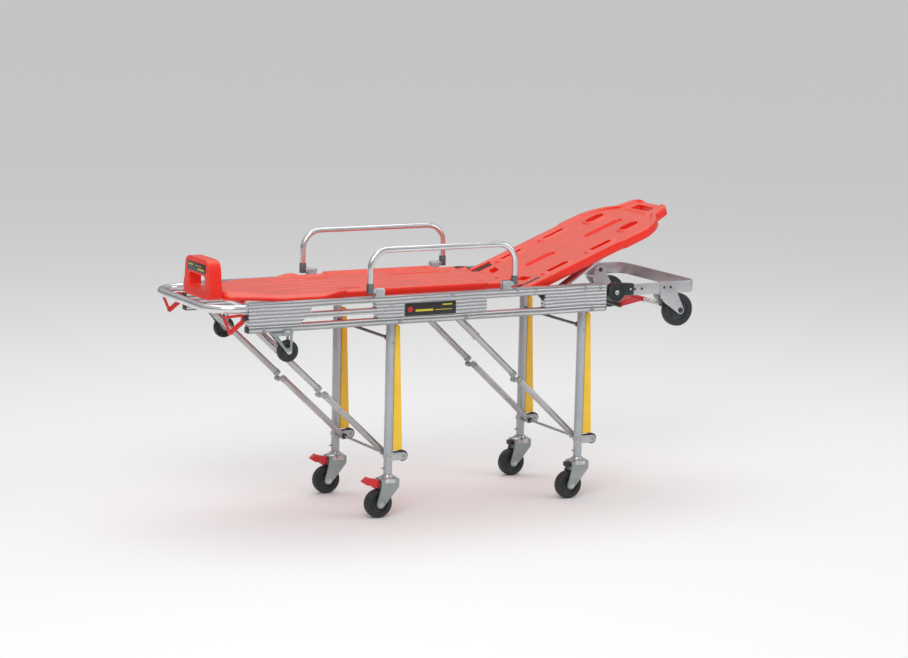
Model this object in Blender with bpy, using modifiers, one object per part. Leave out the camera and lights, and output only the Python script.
"""Ambulance stretcher trolley with folding leg frames, modelled at real size.

Units are metres, +Z is up and +X points to the patient's head end.  The origin
is on the floor, under the middle of the trolley.  "right" is the -Y side.
"""
import math

import bmesh
import bpy
from mathutils import Matrix, Vector

# ------------------------------------------------------------ driving dimensions
HALF_LENGTH = 0.960          # foot handle and head bar both end here
SIDES = {"right": -1, "left": 1}
ENDS = ("foot", "head")
GAP = 0.0003                 # left between solids that touch

# side frames: a windowed extrusion with a box tube below it
RAIL_IN = 0.243
RAIL_OUT = 0.275
RAIL_FOOT_X = -0.824
RAIL_HEAD_X = 0.561
RAIL_TOP = 0.782
RAIL_WEB_BOTTOM = 0.7075
TUBE_TOP = 0.707
TUBE_BOTTOM = 0.684
WEB_BAND_BOTTOM = 0.725      # underside of the web between foot plate and centre plate
UPPER_BAND_BOTTOM = 0.755
FOOT_PLATE_END = -0.640
CENTRE_PLATE = (-0.347, 0.075)
HEAD_PLATE_START = 0.310
SLOT = (-0.598, -0.352, 0.742, 0.762)
HUB_PLATE_Y = (0.234, 0.244)  # bracket on the inner face that carries the head frame
PIN_ROOT_Y = 0.250           # pins start inside the extrusions
CROSS_TUBES = {"foot": (-0.780, 0.7605, 0.011), "middle": (0.200, 0.7605, 0.011),
               "head": (0.536, 0.7175, 0.009)}  # x, z and radius

# boards
DECK_BOTTOM = 0.772
DECK_SURFACE = 0.792
DECK_RIM = 0.802
DECK_FOOT_X = -0.8435
DECK_HEAD_X = 0.235
FOOT_BOARD_X = -0.892
FOOT_BOARD_TOP = 0.905
FOOT_BOARD_CORNER = 0.022
BACK_TILT = math.radians(21.2)
BACK_PIVOT = Vector((0.274, 0.0, 0.770))
BACK_BOTTOM = -0.0245
BACK_SURFACE = 0.0015
BACK_RIM = 0.0095
BACK_LENGTH = 0.694
STRAP_SLOTS = ((0.115, 0.205), (0.305, 0.395))  # along the back board
STRAP_SLOT_Y = 0.165
STRAP_SLOT_HALF = 0.011
OVAL = (0.470, 0.545)
OVAL_Y = 0.117
OVAL_HALF = 0.022
PROP_GROOVE = (0.290, 0.468)  # along the back board
PROP_GROOVE_DEPTH = 0.0145

# legs, braces and casters
LEG_X = {"foot": -0.261, "head": 0.504}
LEG_Y = 0.204
LEG_RADIUS = 0.015
LEG_PIVOT_Z = 0.698
LEG_PIN_RADIUS = 0.0060
BRACE_PIN_RADIUS = 0.0050
LEG_TOP_Z = 0.716
LEG_BOTTOM_Z = 0.1485
TIE_ROD_Z = 0.624
ROLLER = (0.053, 0.212)      # from the leg's axis along +X, height
BRACE_Y = 0.165
BRACE_RADIUS = 0.011
KNEE_GAP = 0.0095            # each brace tube stops this far from the knee's middle
BRACE_TOP = (-0.507, 0.698)  # all three brace points are counted from the leg's X
BRACE_KNEE = (-0.250, 0.439)
BRACE_FOOT = (0.009, 0.214)
WHEEL_RADIUS = 0.050
WHEEL_WIDTH = 0.032
TRAIL = 0.036
SWIVEL_Z = 0.137
FORK_Y = (0.0215, 0.0260)    # inner and outer half width of a caster fork
BRAKE_PIVOT = (-0.040, 0.121)  # from the leg's X, height

# side rails
POST_X = (-0.372, 0.190)
POST_Y = 0.262
POST_PIVOT_Z = 0.800
SIDE_RAIL_TOP = 0.940
SIDE_RAIL_BEND = 0.065
SIDE_RAIL_RADIUS = 0.0105
SLEEVE_RADIUS = 0.0125
HINGE_BLOCK = (0.018, 0.050)  # from the post's axis, inwards
HINGE_PIN_RADIUS = 0.0050

# head frame with its loading wheels
HUB = (0.605, 0.747)
HUB_RADIUS = 0.034
BAR_IN = 0.2475
BAR_OUT = 0.2535
BAR_BOTTOM = 0.730
BAR_TOP = 0.770
LOAD_AXLE = (0.889, 0.665)
LOAD_WHEEL_RADIUS = 0.060
LOAD_WHEEL_Y = 0.231
SAFETY_ROD = (0.837, 0.684)
FORK_PLATE_OUT_Y = (0.2530, 0.2575)
FORK_PLATE_IN_Y = (0.2045, 0.2085)
FORK_X = (0.802, 0.872)
LEVER_DROOP = math.radians(-20)

# small wheels, handles and prop
SMALL_AXLE = (-0.676, 0.6165)
SMALL_WHEEL_RADIUS = 0.0375
SMALL_WHEEL_Y = 0.260
HANDLE_RADIUS = 0.014
HANDLE_Y = 0.259
HANDLE_Z = 0.766
HANDLE_BEND = 0.100
RELEASE_PIVOT = (-0.834, 0.735)
RELEASE_Y = 0.255
PROP_FOOT = Vector((0.418, 0.0, 0.722))
PROP_TOP = Vector((0.678, 0.0, 0.8886))
PROP_Y = 0.140
PROP_RADIUS = 0.007

COLOURS = {
    "rail": ((0.62, 0.63, 0.65), 0.42, 0.9),
    "tube": ((0.72, 0.73, 0.74), 0.28, 0.95),
    "leg": ((0.55, 0.60, 0.62), 0.45, 0.5),
    "zinc": ((0.60, 0.63, 0.62), 0.38, 0.8),
    "board": ((0.80, 0.10, 0.06), 0.45, 0.0),
    "lever": ((0.65, 0.02, 0.03), 0.35, 0.0),
    "guard": ((0.95, 0.55, 0.04), 0.45, 0.0),
    "rubber": ((0.03, 0.03, 0.035), 0.75, 0.0),
    "plastic": ((0.03, 0.04, 0.04), 0.5, 0.0),
}


# ------------------------------------------------------------ scene and materials
for old in list(bpy.data.objects):
    bpy.data.objects.remove(old, do_unlink=True)

parts = bpy.data.collections.new("stretcher_trolley")
bpy.context.scene.collection.children.link(parts)
materials = {}
for material_name, (colour, roughness, metallic) in COLOURS.items():
    material = bpy.data.materials.new(material_name)
    material.use_nodes = True
    shader = material.node_tree.nodes["Principled BSDF"]
    shader.inputs["Base Color"].default_value = (*colour, 1.0)
    shader.inputs["Roughness"].default_value = roughness
    shader.inputs["Metallic"].default_value = metallic
    materials[material_name] = material


# ------------------------------------------------------------ building helpers
def link(name, data):
    obj = bpy.data.objects.new(name, data)
    parts.objects.link(obj)
    return obj


def evaluated(obj, name="piece"):
    """Replace an object by a plain mesh of what its curve or modifiers make."""
    bpy.context.view_layer.update()
    graph = bpy.context.evaluated_depsgraph_get()
    mesh = bpy.data.meshes.new_from_object(obj.evaluated_get(graph))
    mesh.transform(obj.matrix_world)
    source = obj.data
    bpy.data.objects.remove(obj, do_unlink=True)
    (bpy.data.curves if isinstance(source, bpy.types.Curve) else bpy.data.meshes).remove(source)
    work = bmesh.new()
    work.from_mesh(mesh)
    bmesh.ops.remove_doubles(work, verts=work.verts, dist=0.00001)
    bmesh.ops.recalc_face_normals(work, faces=work.faces)
    work.to_mesh(mesh)
    work.free()
    return link(name, mesh)


def from_bmesh(work, name="piece"):
    mesh = bpy.data.meshes.new(name)
    work.to_mesh(mesh)
    work.free()
    return link(name, mesh)


def box(low, high):
    work = bmesh.new()
    bmesh.ops.create_cube(work, size=1.0)
    size = Vector(high) - Vector(low)
    centre = (Vector(high) + Vector(low)) / 2
    bmesh.ops.transform(work, matrix=Matrix.LocRotScale(centre, None, size), verts=work.verts)
    return from_bmesh(work)


def rod(start, end, radius, segments=12):
    """A closed cylinder from one point to another."""
    start, end = Vector(start), Vector(end)
    turn = (end - start).to_track_quat("Z", "Y")
    work = bmesh.new()
    bmesh.ops.create_cone(work, cap_ends=True, segments=segments, radius1=radius,
                          radius2=radius, depth=(end - start).length)
    bmesh.ops.transform(work, matrix=Matrix.LocRotScale((start + end) / 2, turn, None),
                        verts=work.verts)
    return from_bmesh(work)


def cross_rod(x, z, y_from, y_to, radius, segments=12):
    return rod((x, y_from, z), (x, y_to, z), radius, segments)


def outline_slab(outlines, low, high, plane="XZ"):
    """Extrude a flat outline, with any further outlines as holes, from low to high."""
    curve = bpy.data.curves.new("outline", "CURVE")
    curve.dimensions = "2D"
    curve.fill_mode = "BOTH"
    curve.extrude = abs(high - low) / 2
    curve.render_resolution_u = 0
    for points in outlines:
        spline = curve.splines.new("POLY")
        spline.points.add(len(points) - 1)
        for point, (u, v) in zip(spline.points, points):
            point.co = (u, v, 0.0, 1.0)
        spline.use_cyclic_u = True
    obj = link("outline", curve)
    middle = (low + high) / 2
    if plane == "XZ":
        obj.matrix_world = Matrix.Translation((0, middle, 0)) @ Matrix.Rotation(math.pi / 2, 4, "X")
    else:
        obj.matrix_world = Matrix.Translation((0, 0, middle))
    return evaluated(obj)


def tube(points, radius, sides=12, closed=False):
    """A round tube along a path, as a closed mesh."""
    curve = bpy.data.curves.new("tube", "CURVE")
    curve.dimensions = "3D"
    curve.bevel_depth = radius
    curve.bevel_resolution = sides // 2 - 2
    curve.use_fill_caps = not closed
    curve.render_resolution_u = 0
    spline = curve.splines.new("POLY")
    spline.points.add(len(points) - 1)
    for point, place in zip(spline.points, points):
        point.co = (*place, 1.0)
    spline.use_cyclic_u = closed
    return evaluated(link("tube", curve))


def combine(target, others, operation):
    """Union or difference of closed solids; the other solids are used up."""
    for other in others:
        modifier = target.modifiers.new("boolean", "BOOLEAN")
        modifier.operation = operation
        modifier.solver = "EXACT"
        modifier.object = other
        target = evaluated(target)
        bpy.data.meshes.remove(other.data)
    return target


def union(target, *others):
    return combine(target, others, "UNION")


def cut(target, *others):
    return combine(target, others, "DIFFERENCE")


def turned(profile, centre, segments=24):
    """Turn (radius, offset) points around a Y axis through centre; the ring is closed."""
    mesh = bpy.data.meshes.new("profile")
    points = [(radius, 0.0, offset) for radius, offset in profile]
    edges = [(i, (i + 1) % len(points)) for i in range(len(points))]
    mesh.from_pydata(points, edges, [])
    obj = link("turned", mesh)
    screw = obj.modifiers.new("screw", "SCREW")
    screw.steps = screw.render_steps = segments
    screw.use_merge_vertices = True
    screw.merge_threshold = 0.00001
    obj.matrix_world = Matrix.Translation(centre) @ Matrix.Rotation(math.pi / 2, 4, "X")
    return evaluated(obj)


def arc(centre, radius, start, end, steps):
    """Points on an arc; the angles are in degrees."""
    points = []
    for i in range(steps + 1):
        angle = math.radians(start + (end - start) * i / steps)
        points.append((centre[0] + radius * math.cos(angle), centre[1] + radius * math.sin(angle)))
    return points


def pill(x_low, x_high, z_low, z_high, steps=6):
    """Outline of a slot with round ends."""
    radius = (z_high - z_low) / 2
    middle = (z_low + z_high) / 2
    return (arc((x_high - radius, middle), radius, -90, 90, steps)
            + arc((x_low + radius, middle), radius, 90, 270, steps))


def capsule(start, end, radius, steps=6):
    """Outline of a bar with round ends between two points."""
    angle = math.degrees(math.atan2(end[1] - start[1], end[0] - start[0]))
    return (arc(end, radius, angle - 90, angle + 90, steps)
            + arc(start, radius, angle + 90, angle + 270, steps))


def mirrored(points):
    """Complete a half outline by its mirror image across the middle plane Y = 0."""
    return points + [(u, -v) for u, v in reversed(points)]


def soften(obj, width, segments=2, angle=40):
    """Round the sharp edges."""
    work = bmesh.new()
    work.from_mesh(obj.data)
    bmesh.ops.dissolve_limit(work, angle_limit=math.radians(1), verts=work.verts, edges=work.edges)
    work.to_mesh(obj.data)
    work.free()
    bevel = obj.modifiers.new("bevel", "BEVEL")
    bevel.width = width
    bevel.segments = segments
    bevel.limit_method = "ANGLE"
    bevel.angle_limit = math.radians(angle)
    bevel.use_clamp_overlap = True
    return evaluated(obj)


def finish(obj, name, material, pivot=None, sharp=35):
    """Name a solid, give it its material and hang it on its pivot's empty."""
    obj.name = name
    obj.data.name = name
    obj.data.materials.clear()
    obj.data.materials.append(materials[material])
    obj.data.shade_smooth()
    obj.data.set_sharp_from_angle(angle=math.radians(sharp))
    if pivot is not None:
        obj.data.transform(pivot.matrix_world.inverted())
        obj.parent = pivot
    return obj


def pivot_empty(name, place, tilt=0.0):
    empty = bpy.data.objects.new(name, None)
    empty.empty_display_size = 0.03
    parts.objects.link(empty)
    empty.location = place
    empty.rotation_euler = (0.0, tilt, 0.0)
    bpy.context.view_layer.update()
    return empty


def span(side, near, far):
    """The Y range between two distances from the middle plane, on one side."""
    return tuple(sorted((side * near, side * far)))


# ------------------------------------------------------------ fixed frame
def side_frame(side_name, side):
    """Windowed side extrusion with its hinge blocks, pins and hub bracket."""
    low, high = span(side, RAIL_IN, RAIL_OUT)
    centre_start, centre_end = CENTRE_PLATE
    outline = [(RAIL_FOOT_X, RAIL_TOP), (RAIL_FOOT_X, RAIL_WEB_BOTTOM),
               (FOOT_PLATE_END, RAIL_WEB_BOTTOM), (FOOT_PLATE_END + 0.02, WEB_BAND_BOTTOM),
               (centre_start, WEB_BAND_BOTTOM), (centre_start, RAIL_WEB_BOTTOM),
               (centre_end, RAIL_WEB_BOTTOM), (centre_end, UPPER_BAND_BOTTOM),
               (HEAD_PLATE_START, UPPER_BAND_BOTTOM), (HEAD_PLATE_START, RAIL_WEB_BOTTOM),
               (RAIL_HEAD_X, RAIL_WEB_BOTTOM), (RAIL_HEAD_X, RAIL_TOP)]
    slot_x0, slot_x1, slot_z0, slot_z1 = SLOT
    slot_radius = (slot_z1 - slot_z0) / 2
    slot = (arc((slot_x0 + slot_radius, slot_z0 + slot_radius), slot_radius, 90, 270, 6)
            + [(slot_x1, slot_z0), (slot_x1, slot_z1)])
    frame = outline_slab([outline, slot], low, high)
    frame = soften(frame, 0.002, segments=1, angle=60)
    extras = []
    for post_x, inward in zip(POST_X, (1, -1)):
        near, far = sorted(post_x + inward * reach for reach in HINGE_BLOCK)
        block = box((near, side * POST_Y - 0.011, RAIL_TOP - 0.002),
                    (far, side * POST_Y + 0.011, POST_PIVOT_Z + 0.010))
        hole = rod((near - 0.005, side * POST_Y, POST_PIVOT_Z),
                   (far + 0.005, side * POST_Y, POST_PIVOT_Z), HINGE_PIN_RADIUS + 0.0006)
        extras.append(cut(block, hole))
    bracket_outline = capsule((RAIL_HEAD_X + 0.014, HUB[1]), HUB, 0.026)
    extras.append(outline_slab([bracket_outline], *span(side, *HUB_PLATE_Y)))
    extras.append(cross_rod(*HUB, side * 0.238, side * 0.2790, 0.0060))
    extras.append(cross_rod(BACK_PIVOT.x, BACK_PIVOT.z, side * PIN_ROOT_Y, side * 0.206, 0.0050))
    extras.append(cross_rod(PROP_FOOT.x, PROP_FOOT.z, side * PIN_ROOT_Y, side * 0.225, 0.0035))
    frame = union(frame, *extras)
    finish(frame, "side_frame_" + side_name, "rail")


def lower_tube(side_name, side):
    """Box tube under the side frame; it carries the leg and brace pivot pins."""
    low, high = span(side, RAIL_IN, RAIL_OUT)
    beam = soften(box((RAIL_FOOT_X, low, TUBE_BOTTOM), (RAIL_HEAD_X, high, TUBE_TOP)), 0.004, 2)
    pins = []
    for end in ENDS:
        pins.append(cross_rod(LEG_X[end], LEG_PIVOT_Z, side * PIN_ROOT_Y, side * 0.186,
                              LEG_PIN_RADIUS))
        pins.append(cross_rod(LEG_X[end] + BRACE_TOP[0], BRACE_TOP[1],
                              side * PIN_ROOT_Y, side * 0.150, BRACE_PIN_RADIUS))
    finish(union(beam, *pins), "lower_tube_" + side_name, "rail")


def foot_handle():
    """Round tube bent to a U between the two side frames."""
    bend_x = -HALF_LENGTH + HANDLE_RADIUS + HANDLE_BEND
    half = HANDLE_Y - HANDLE_BEND
    corner = arc((bend_x, half), HANDLE_BEND, 90, 180, 7)
    half_path = [(RAIL_FOOT_X - GAP, HANDLE_Y)] + corner
    path = half_path + [(x, -y) for x, y in reversed(half_path)]
    finish(tube([(x, y, HANDLE_Z) for x, y in path], HANDLE_RADIUS, 12), "foot_handle", "tube")


def cross_tubes():
    """Round tubes that join the side frames and carry the boards."""
    reach = RAIL_IN - GAP
    for place_name, (x, z, radius) in CROSS_TUBES.items():
        finish(cross_rod(x, z, -reach, reach, radius), "cross_tube_" + place_name, "tube")


# ------------------------------------------------------------ boards
def leg_board():
    """Moulded board under the legs and seat, with a raised rim and side notches."""
    half = [(DECK_FOOT_X, 0.128), (-0.800, 0.136), (-0.740, 0.160), (-0.690, 0.196),
            (-0.660, 0.212), (-0.450, 0.215), (-0.420, 0.2035), (-0.335, 0.203),
            (-0.305, 0.216), (0.095, 0.217), (0.125, 0.204), (0.205, 0.202),
            (DECK_HEAD_X, 0.190)]
    board = outline_slab([mirrored(half)], DECK_BOTTOM, DECK_RIM, "XY")
    board = soften(board, 0.005, 1, 60)
    inner = [(DECK_FOOT_X + 0.040, 0.090), (-0.760, 0.112), (-0.680, 0.160), (-0.640, 0.172),
             (0.150, 0.172), (DECK_HEAD_X - 0.030, 0.160)]
    pocket = outline_slab([mirrored(inner)], DECK_SURFACE, DECK_RIM + 0.010, "XY")
    finish(cut(board, pocket), "leg_board", "board")


def foot_board():
    """Upright moulded board at the foot end, with a hand hole."""
    front, back = FOOT_BOARD_X, DECK_FOOT_X - GAP
    bottom, shoulder = DECK_BOTTOM, FOOT_BOARD_TOP - FOOT_BOARD_CORNER
    half = [(bottom, 0.104), (bottom + 0.012, 0.115), (bottom + 0.060, 0.110), (shoulder, 0.100)]
    half += arc((shoulder, 0.100 - FOOT_BOARD_CORNER), FOOT_BOARD_CORNER, 90, 0, 4)[1:]
    outline = [(v, u) for u, v in mirrored(half)]
    hole = [(-0.065, 0.812), (-0.053, 0.800), (0.053, 0.800), (0.065, 0.812),
            (0.065, 0.838), (0.053, 0.850), (-0.053, 0.850), (-0.065, 0.838)]
    slab = outline_slab([outline, hole], front, back)
    slab.data.transform(Matrix.Rotation(math.pi / 2, 4, "Z") @ Matrix.Scale(-1, 4, (0, 1, 0)))
    slab.data.flip_normals()
    finish(soften(slab, 0.006, 2, 50), "foot_board", "board")


def backrest(pivot):
    """Moulded back board, built flat about its hinge and then tilted by its empty."""
    half = [(-0.030, 0.188), (-0.012, 0.212), (0.020, 0.222), (0.395, 0.222), (0.415, 0.233),
            (0.500, 0.233), (0.545, 0.218), (0.580, 0.192), (0.600, 0.166), (0.615, 0.136),
            (0.650, 0.122), (0.676, 0.112), (BACK_LENGTH, 0.088)]
    board = outline_slab([mirrored(half)], BACK_BOTTOM, BACK_RIM, "XY")
    board = soften(board, 0.005, 1, 60)
    inner = [(0.000, 0.165), (0.030, 0.180), (0.395, 0.180), (0.420, 0.190), (0.490, 0.190),
             (0.530, 0.176), (0.565, 0.150), (0.590, 0.110), (0.640, 0.090), (0.668, 0.080)]
    cutters = [outline_slab([mirrored(inner)], BACK_SURFACE, BACK_RIM + 0.01, "XY")]
    hand_hole = [(0.624, -0.048), (0.632, -0.056), (0.658, -0.056), (0.666, -0.048),
                 (0.666, 0.048), (0.658, 0.056), (0.632, 0.056), (0.624, 0.048)]
    openings = [hand_hole]
    for side in SIDES.values():
        for low, high in STRAP_SLOTS:
            openings.append(pill(low, high, side * STRAP_SLOT_Y - STRAP_SLOT_HALF,
                                 side * STRAP_SLOT_Y + STRAP_SLOT_HALF, 4))
        openings.append(pill(*OVAL, side * OVAL_Y - OVAL_HALF, side * OVAL_Y + OVAL_HALF, 5))
        cutters.append(box((PROP_GROOVE[0], side * PROP_Y - 0.0105, BACK_BOTTOM - 0.01),
                           (PROP_GROOVE[1], side * PROP_Y + 0.0105, BACK_BOTTOM + PROP_GROOVE_DEPTH)))
        cutters.append(cross_rod(0.0, 0.0, side * 0.2035, side * 0.240, 0.0055))
    for opening in openings:
        cutters.append(outline_slab([opening], BACK_BOTTOM - 0.01, BACK_RIM + 0.01, "XY"))
    board = cut(board, *cutters)
    board.data.transform(pivot.matrix_world)
    finish(board, "backrest_board", "board", pivot)


def backrest_prop(pivot):
    """U-shaped stay that turns on a cross bar and holds up the back board."""
    bar = cross_rod(PROP_FOOT.x, PROP_FOOT.z, -0.240, 0.240, PROP_RADIUS)
    arms = []
    for side in SIDES.values():
        offset = Vector((0, side * PROP_Y, 0))
        arms.append(rod(PROP_FOOT + offset, PROP_TOP + offset, PROP_RADIUS - 0.0004))
    bar = union(bar, *arms)
    bores = [cross_rod(PROP_FOOT.x, PROP_FOOT.z, side * 0.2235, side * PIN_ROOT_Y, 0.0040)
             for side in SIDES.values()]
    finish(cut(bar, *bores), "backrest_prop", "tube", pivot)


# ------------------------------------------------------------ side rails
def side_rail(side_name, side, pivot):
    """Drop side rail: a U tube on two sleeves, with pivot pins along X."""
    start, end = POST_X
    bend = SIDE_RAIL_BEND
    path = [(start, POST_PIVOT_Z)]
    path += arc((start + bend, SIDE_RAIL_TOP - bend), bend, 180, 90, 6)
    path += arc((end - bend, SIDE_RAIL_TOP - bend), bend, 90, 0, 6)
    path += [(end, POST_PIVOT_Z)]
    rail = tube([(x, side * POST_Y, z) for x, z in path], SIDE_RAIL_RADIUS, 12)
    fittings = []
    for post_x, inward in zip(POST_X, (1, -1)):
        fittings.append(rod((post_x, side * POST_Y, POST_PIVOT_Z - 0.008),
                            (post_x, side * POST_Y, POST_PIVOT_Z + 0.028), SLEEVE_RADIUS))
        fittings.append(rod((post_x, side * POST_Y, POST_PIVOT_Z),
                            (post_x + inward * 0.054, side * POST_Y, POST_PIVOT_Z),
                            HINGE_PIN_RADIUS))
    finish(union(rail, *fittings), "side_rail_" + side_name, "tube", pivot)


# ------------------------------------------------------------ head frame
def head_bar_outline():
    """Plan outline of the flat bar that is bent round the head end."""
    bend = 0.045
    thickness = BAR_OUT - BAR_IN
    centre = (HALF_LENGTH - bend, BAR_OUT - bend)
    outer = [(HUB[0] + 0.036, BAR_OUT)] + arc(centre, bend, 90, 0, 5)
    inner = [(HUB[0] + 0.036, BAR_IN)] + arc(centre, bend - thickness, 90, 0, 5)
    outline = outer + [(x, -y) for x, y in reversed(outer)]
    return outline + [(x, -y) for x, y in inner] + list(reversed(inner))


def head_frame(pivot):
    """Flat bar with the loading wheels' forks, their axles and the rod between them."""
    frame = outline_slab([head_bar_outline()], BAR_BOTTOM, BAR_TOP, "XY")
    foot_side, head_side = FORK_X
    tip = arc(LOAD_AXLE, 0.014, -120, 30, 5)
    outer_plate = tip + [(head_side, 0.7285), (head_side, BAR_TOP - 0.002),
                         (foot_side, BAR_TOP - 0.002), (foot_side, 0.714), (0.822, 0.694)]
    inner_plate = tip + [(head_side - 0.010, 0.7295), (foot_side, 0.7295), (foot_side, 0.714),
                         (0.822, 0.690)]
    pieces = []
    for side in SIDES.values():
        pieces.append(outline_slab([outer_plate], *span(side, *FORK_PLATE_OUT_Y)))
        pieces.append(outline_slab([inner_plate], *span(side, *FORK_PLATE_IN_Y)))
        low, high = span(side, 0.2050, 0.2555)
        pieces.append(box((foot_side + 0.001, low, 0.7225), (head_side - 0.011, high, 0.7310)))
        pieces.append(cross_rod(*LOAD_AXLE, side * 0.2060, side * 0.2600, 0.0050))
    pieces.append(cross_rod(*SAFETY_ROD, -0.2065, 0.2065, 0.0050))
    for side in SIDES.values():
        pieces.append(cross_rod(*SAFETY_ROD, side * 0.2030, side * 0.2080, 0.0110))
    finish(union(frame, *pieces), "head_frame", "rail", pivot)


def head_hub(side_name, side, pivot):
    """Black ratchet hub with the tongue that holds the flat bar."""
    low, high = span(side, 0.2450, 0.2750)
    disc = cross_rod(*HUB, low, high, HUB_RADIUS, 28)
    tongue_low, tongue_high = span(side, BAR_OUT + GAP, 0.2735)
    tongue = box((HUB[0] + 0.005, tongue_low, 0.734), (HUB[0] + 0.072, tongue_high, 0.775))
    hub = union(disc, tongue)
    bore = cross_rod(*HUB, side * 0.230, side * 0.290, 0.0066)
    room_low, room_high = span(side, 0.240, BAR_OUT + GAP)
    room = box((HUB[0] + 0.034, room_low, 0.700), (HUB[0] + 0.080, room_high, 0.800))
    finish(cut(hub, bore, room), "head_hub_" + side_name, "plastic", pivot)


def safety_lever(pivot):
    """Red lever plate on a sleeve round the rod between the loading wheels."""
    x, z = SAFETY_ROD
    sleeve = cross_rod(x, z, -0.100, 0.100, 0.0090)
    half = [(x - 0.078, 0.050), (x - 0.070, 0.058), (x - 0.004, 0.092), (x + 0.004, 0.092)]
    plate = outline_slab([mirrored(half)], z - 0.003, z + 0.003, "XY")
    droop = (Matrix.Translation((x, 0, z)) @ Matrix.Rotation(LEVER_DROOP, 4, "Y")
             @ Matrix.Translation((-x, 0, -z)))
    plate.data.transform(droop)
    bore = cross_rod(x, z, -0.110, 0.110, 0.0056)
    finish(cut(union(sleeve, plate), bore), "safety_lever", "lever", pivot)


# ------------------------------------------------------------ wheels
def wheel_profile(radius, width, bore):
    """Half section of a wheel: round tread, recessed disc and hub, with a bore."""
    half = width / 2
    side = [(bore, half * 0.9), (bore + 0.009, half * 0.9), (bore + 0.011, half * 0.45),
            (radius * 0.66, half * 0.45), (radius * 0.72, half * 0.92), (radius * 0.94, half * 0.75)]
    tread = [(radius, half * 0.2)]
    return side + tread + [(r, -offset) for r, offset in reversed(side + tread)]


def wheel(name, radius, width, bore, centre, pivot, segments=24):
    piece = turned(wheel_profile(radius, width, bore), centre, segments)
    finish(piece, name, "rubber", pivot)


def small_wheel_bracket(side_name, side):
    """Open V bracket that hangs the small wheel under the lower tube."""
    top = TUBE_BOTTOM - GAP
    outline = [(-0.737, top), (-0.737, 0.674), (-0.722, 0.664)]
    outline += arc(SMALL_AXLE, 0.010, 205, 360, 5) + [(-0.662, 0.672), (-0.662, top)]
    opening = [(-0.716, 0.6665), (-0.688, 0.6265), (-0.672, 0.6265), (-0.672, 0.6665)]
    bracket = outline_slab([outline, opening], *span(side, 0.2445, 0.2755))
    low, high = span(side, 0.2475, 0.2725)
    bracket = cut(bracket, box((-0.760, low, 0.590), (-0.640, high, 0.6760)))
    pin = cross_rod(*SMALL_AXLE, side * 0.2450, side * 0.2750, 0.0040)
    finish(union(bracket, pin), "small_wheel_bracket_" + side_name, "zinc")


def release_handle(side_name, side, pivot):
    """Red flat loop at the foot end of a side frame."""
    corners = [(-0.838, 0.745), (-0.838, 0.722), (-0.884, 0.6865), (-0.908, 0.741)]
    rounding = 0.007
    path = []
    for i, corner in enumerate(corners):
        here = Vector(corner)
        before = (Vector(corners[i - 1]) - here).normalized() * rounding
        after = (Vector(corners[(i + 1) % len(corners)]) - here).normalized() * rounding
        path += [here + before, here + (before + after) * 0.28, here + after]
    loop = tube([(p.x, side * RELEASE_Y, p.y) for p in path], 0.0042, 8, closed=True)
    low, high = span(side, 0.2490, 0.2610)
    block = box((-0.8440, low, 0.7210), (RAIL_FOOT_X - 0.0060, high, 0.7480))
    finish(union(loop, block), "release_handle_" + side_name, "lever", pivot)


# ------------------------------------------------------------ legs and braces
def leg(end, side_name, side, pivot):
    """Leg tube with its pivot hole and the bracket that holds the guide roller."""
    x = LEG_X[end]
    y = side * LEG_Y
    post = rod((x, y, LEG_BOTTOM_Z), (x, y, LEG_TOP_Z), LEG_RADIUS, 16)
    roller_x, roller_z = x + ROLLER[0], ROLLER[1]
    bracket = outline_slab([capsule((x, roller_z), (roller_x, roller_z), 0.0130, 5)],
                           y - 0.0155, y + 0.0155)
    bracket = cut(bracket, box((x + 0.0170, y - 0.0122, 0.19), (x + 0.09, y + 0.0122, 0.24)))
    pin = cross_rod(roller_x, roller_z, y - 0.0140, y + 0.0140, 0.0040)
    post = union(post, bracket, pin)
    hole = cross_rod(x, LEG_PIVOT_Z, y - 0.03, y + 0.03, LEG_PIN_RADIUS + 0.0006)
    finish(cut(post, hole), f"{end}_leg_{side_name}", "leg", pivot)


def guard(end, side_name, side, pivot):
    """Tapered slide strip on the head side of a leg."""
    x = LEG_X[end] + LEG_RADIUS + GAP
    y = side * LEG_Y
    outline = [(x, 0.232), (x + 0.036, 0.232), (x + 0.0185, 0.664), (x + 0.010, 0.672), (x, 0.672)]
    strip = outline_slab([outline], y - 0.006, y + 0.006)
    finish(strip, f"{end}_guard_{side_name}", "guard", pivot)


def roller(end, side_name, side, pivot):
    x, z = LEG_X[end] + ROLLER[0], ROLLER[1]
    profile = [(0.0046, 0.0112), (0.0175, 0.0112), (0.0190, 0.0095),
               (0.0190, -0.0095), (0.0175, -0.0112), (0.0046, -0.0112)]
    piece = turned(profile, (x, side * LEG_Y, z), 16)
    finish(piece, f"{end}_roller_{side_name}", "rubber", pivot)


def turned_rod(x, z, half_profile, name, material, pivot):
    """A rod along Y that is turned from a symmetric stepped profile."""
    points = half_profile + [(radius, -offset) for radius, offset in reversed(half_profile)]
    core = [(0.0, half_profile[0][1])] + points + [(0.0, -half_profile[0][1])]
    mesh = bpy.data.meshes.new(name)
    mesh.from_pydata([(r, 0.0, o) for r, o in core], [(i, i + 1) for i in range(len(core) - 1)], [])
    obj = link(name, mesh)
    screw = obj.modifiers.new("screw", "SCREW")
    screw.steps = screw.render_steps = 12
    screw.use_merge_vertices = True
    screw.merge_threshold = 0.00001
    obj.matrix_world = Matrix.Translation((x, 0, z)) @ Matrix.Rotation(math.pi / 2, 4, "X")
    finish(evaluated(obj), name, material, pivot)


def tie_rod(end, pivot):
    """Threaded rod with two black nuts between the legs of a pair."""
    profile = [(0.0045, 0.1886), (0.0045, 0.1860), (0.0100, 0.1860), (0.0100, 0.1720),
               (0.0045, 0.1720)]
    turned_rod(LEG_X[end], TIE_ROD_Z, profile, f"{end}_tie_rod", "plastic", pivot)


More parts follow.
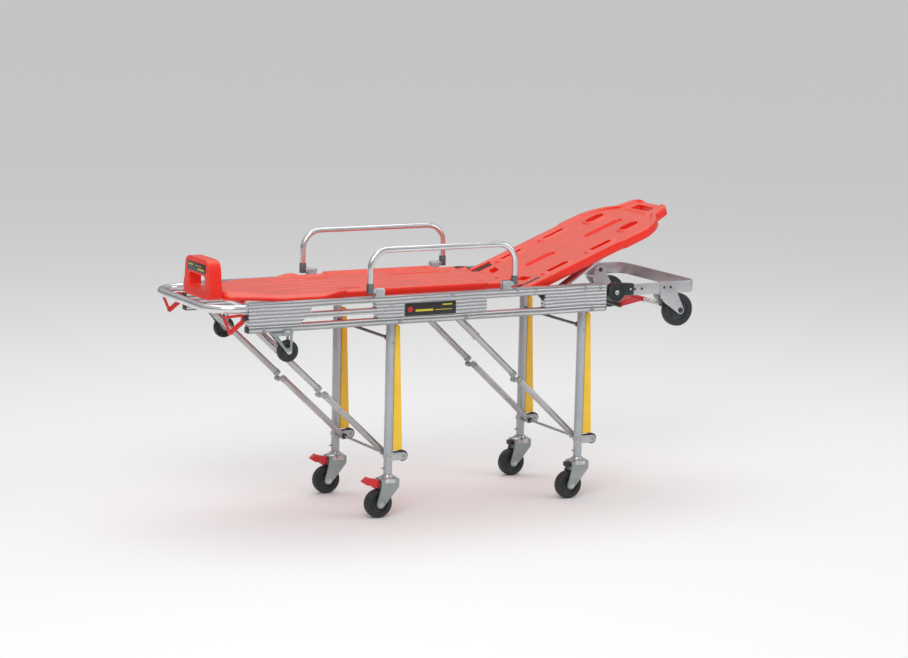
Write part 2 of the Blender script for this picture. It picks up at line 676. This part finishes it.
def brace_rod(end, pivot):
    """Rod through the lower ends of a brace pair, with its end knobs."""
    profile = [(0.0100, 0.1868), (0.0100, 0.1768), (0.0045, 0.1768), (0.0045, 0.1530),
               (0.0095, 0.1530), (0.0095, 0.1450), (0.0045, 0.1450)]
    turned_rod(LEG_X[end] + BRACE_FOOT[0], BRACE_FOOT[1], profile, f"{end}_brace_rod", "plastic", pivot)


def brace_line(end):
    """The knee's place, and the directions along and across the straight brace."""
    top = Vector((LEG_X[end] + BRACE_TOP[0], 0, BRACE_TOP[1]))
    foot = Vector((LEG_X[end] + BRACE_FOOT[0], 0, BRACE_FOOT[1]))
    knee = Vector((LEG_X[end] + BRACE_KNEE[0], 0, BRACE_KNEE[1]))
    along = (foot - top).normalized()
    across = Vector((-along.z, 0, along.x))
    return top, foot, knee, along, across


def knee_ear(knee, along, across, direction, y_low, y_high):
    """Plate that joins a brace tube to the knee pivot below its axis."""
    inside = knee + along * (direction * 0.020) + across * 0.013
    return outline_slab([capsule((inside.x, inside.z), (knee.x, knee.z), 0.0070, 6)], y_low, y_high)


def upper_brace(end, side_name, side, pivot):
    """Upper half of a folding brace, with the knee's pin."""
    top, _, knee, along, across = brace_line(end)
    offset = Vector((0, side * BRACE_Y, 0))
    reach = (knee - top).dot(along)
    piece = rod(top + offset - along * 0.013, top + offset + along * (reach - KNEE_GAP),
                BRACE_RADIUS)
    y = side * BRACE_Y
    piece = cut(piece, cross_rod(top.x, top.z, y - 0.02, y + 0.02, BRACE_PIN_RADIUS + 0.0005, 10))
    ear = knee_ear(knee, along, across, -1, *span(side, BRACE_Y + 0.0005, BRACE_Y + 0.0060))
    pin = cross_rod(knee.x, knee.z, y - 0.0105, y + 0.0105, 0.0034)
    head_a = cross_rod(knee.x, knee.z, y + side * 0.0056, y + side * 0.0105, 0.0062)
    head_b = cross_rod(knee.x, knee.z, y - side * 0.0105, y - side * 0.0065, 0.0062)
    piece = union(piece, ear, pin, head_a, head_b)
    finish(piece, f"{end}_upper_brace_{side_name}", "tube", pivot)


def lower_brace(end, side_name, side, pivot):
    """Lower half of a folding brace, with the holes for the knee pin and the rod."""
    _, foot, knee, along, across = brace_line(end)
    offset = Vector((0, side * BRACE_Y, 0))
    reach = (foot - knee).dot(along)
    start = foot - along * (reach - KNEE_GAP)
    y = side * BRACE_Y
    piece = rod(start + offset, foot + offset + along * 0.012, BRACE_RADIUS)
    ear = knee_ear(knee, along, across, 1, *span(side, BRACE_Y - 0.0060, BRACE_Y - 0.0005))
    piece = union(piece, ear)
    piece = cut(piece, cross_rod(knee.x, knee.z, y - 0.02, y + 0.02, 0.0041),
                cross_rod(foot.x, foot.z, y - 0.02, y + 0.02, 0.0051))
    finish(piece, f"{end}_lower_brace_{side_name}", "tube", pivot)


# ------------------------------------------------------------ casters
def caster_fork(end, side_name, side, pivot):
    """Pressed fork with its swivel collar and the wheel's axle."""
    x, y = LEG_X[end], side * LEG_Y
    axle_x = x - TRAIL
    outline = arc((axle_x, WHEEL_RADIUS), 0.0150, 165, 320, 6)
    outline += [(x + 0.034, 0.108), (x + 0.034, SWIVEL_Z), (x - 0.034, SWIVEL_Z),
                (x - 0.034, 0.110)]
    inner, outer = FORK_Y
    fork = outline_slab([outline], y - outer, y + outer)
    fork = cut(fork, box((x - 0.10, y - inner, -0.01), (x + 0.10, y + inner, 0.1290)))
    collar = rod((x, y, 0.1350), (x, y, LEG_BOTTOM_Z - 0.0005), 0.0190, 16)
    axle = cross_rod(axle_x, WHEEL_RADIUS, y - 0.0290, y + 0.0290, 0.0050)
    finish(union(fork, collar, axle), f"{end}_caster_fork_{side_name}", "zinc", pivot)


def brake_pedal(side_name, side, pivot):
    """Red pedal at the front of a foot-end caster."""
    x, y = LEG_X["foot"], side * LEG_Y
    outline = [(x - 0.100, 0.130), (x - 0.074, 0.146), (x - 0.036, 0.134), (x - 0.036, 0.108),
               (x - 0.060, 0.1025), (x - 0.084, 0.117)]
    pedal = outline_slab([outline], y - 0.0130, y + 0.0130)
    finish(pedal, "brake_pedal_" + side_name, "lever", pivot)


# ------------------------------------------------------------ assembly
foot_handle()
cross_tubes()
leg_board()
foot_board()
back_pivot = pivot_empty("backrest_pivot", BACK_PIVOT, -BACK_TILT)
backrest(back_pivot)
backrest_prop(pivot_empty("prop_pivot", PROP_FOOT))

hub_pivot = pivot_empty("head_frame_pivot", (HUB[0], 0, HUB[1]))
head_frame(hub_pivot)
safety_lever(pivot_empty("safety_lever_pivot", (SAFETY_ROD[0], 0, SAFETY_ROD[1])))

leg_pivots = {end: pivot_empty(end + "_leg_pivot", (LEG_X[end], 0, LEG_PIVOT_Z)) for end in ENDS}
top_pivots = {end: pivot_empty(end + "_brace_pivot", (LEG_X[end] + BRACE_TOP[0], 0, BRACE_TOP[1]))
              for end in ENDS}
knee_pivots = {end: pivot_empty(end + "_knee_pivot", (LEG_X[end] + BRACE_KNEE[0], 0, BRACE_KNEE[1]))
               for end in ENDS}
for end in ENDS:
    tie_rod(end, leg_pivots[end])
    brace_rod(end, knee_pivots[end])

for side_name, side in SIDES.items():
    side_frame(side_name, side)
    lower_tube(side_name, side)
    small_wheel_bracket(side_name, side)
    small_centre = (SMALL_AXLE[0], side * SMALL_WHEEL_Y, SMALL_AXLE[1])
    wheel("small_wheel_" + side_name, SMALL_WHEEL_RADIUS, 0.022, 0.0045, small_centre,
          pivot_empty("small_wheel_pivot_" + side_name, small_centre), 18)
    release_centre = (RELEASE_PIVOT[0], side * RELEASE_Y, RELEASE_PIVOT[1])
    release_handle(side_name, side, pivot_empty("release_pivot_" + side_name, release_centre))
    side_rail(side_name, side,
              pivot_empty("side_rail_pivot_" + side_name, (POST_X[0], side * POST_Y, POST_PIVOT_Z)))
    head_hub(side_name, side, hub_pivot)
    load_centre = (LOAD_AXLE[0], side * LOAD_WHEEL_Y, LOAD_AXLE[1])
    wheel("loading_wheel_" + side_name, LOAD_WHEEL_RADIUS, 0.034, 0.0055, load_centre,
          pivot_empty("loading_wheel_pivot_" + side_name, load_centre))
    brake_centre = (LEG_X["foot"] + BRAKE_PIVOT[0], side * LEG_Y, BRAKE_PIVOT[1])
    brake_pedal(side_name, side, pivot_empty("brake_pivot_" + side_name, brake_centre))
    for end in ENDS:
        leg(end, side_name, side, leg_pivots[end])
        guard(end, side_name, side, leg_pivots[end])
        roller_centre = (LEG_X[end] + ROLLER[0], side * LEG_Y, ROLLER[1])
        roller(end, side_name, side, pivot_empty(f"{end}_roller_pivot_{side_name}", roller_centre))
        upper_brace(end, side_name, side, top_pivots[end])
        lower_brace(end, side_name, side, knee_pivots[end])
        swivel_centre = (LEG_X[end], side * LEG_Y, SWIVEL_Z)
        swivel = pivot_empty(f"{end}_swivel_pivot_{side_name}", swivel_centre)
        caster_fork(end, side_name, side, swivel)
        wheel_centre = (LEG_X[end] - TRAIL, side * LEG_Y, WHEEL_RADIUS)
        wheel(f"{end}_caster_wheel_{side_name}", WHEEL_RADIUS, WHEEL_WIDTH, 0.0056, wheel_centre,
              pivot_empty(f"{end}_wheel_pivot_{side_name}", wheel_centre))
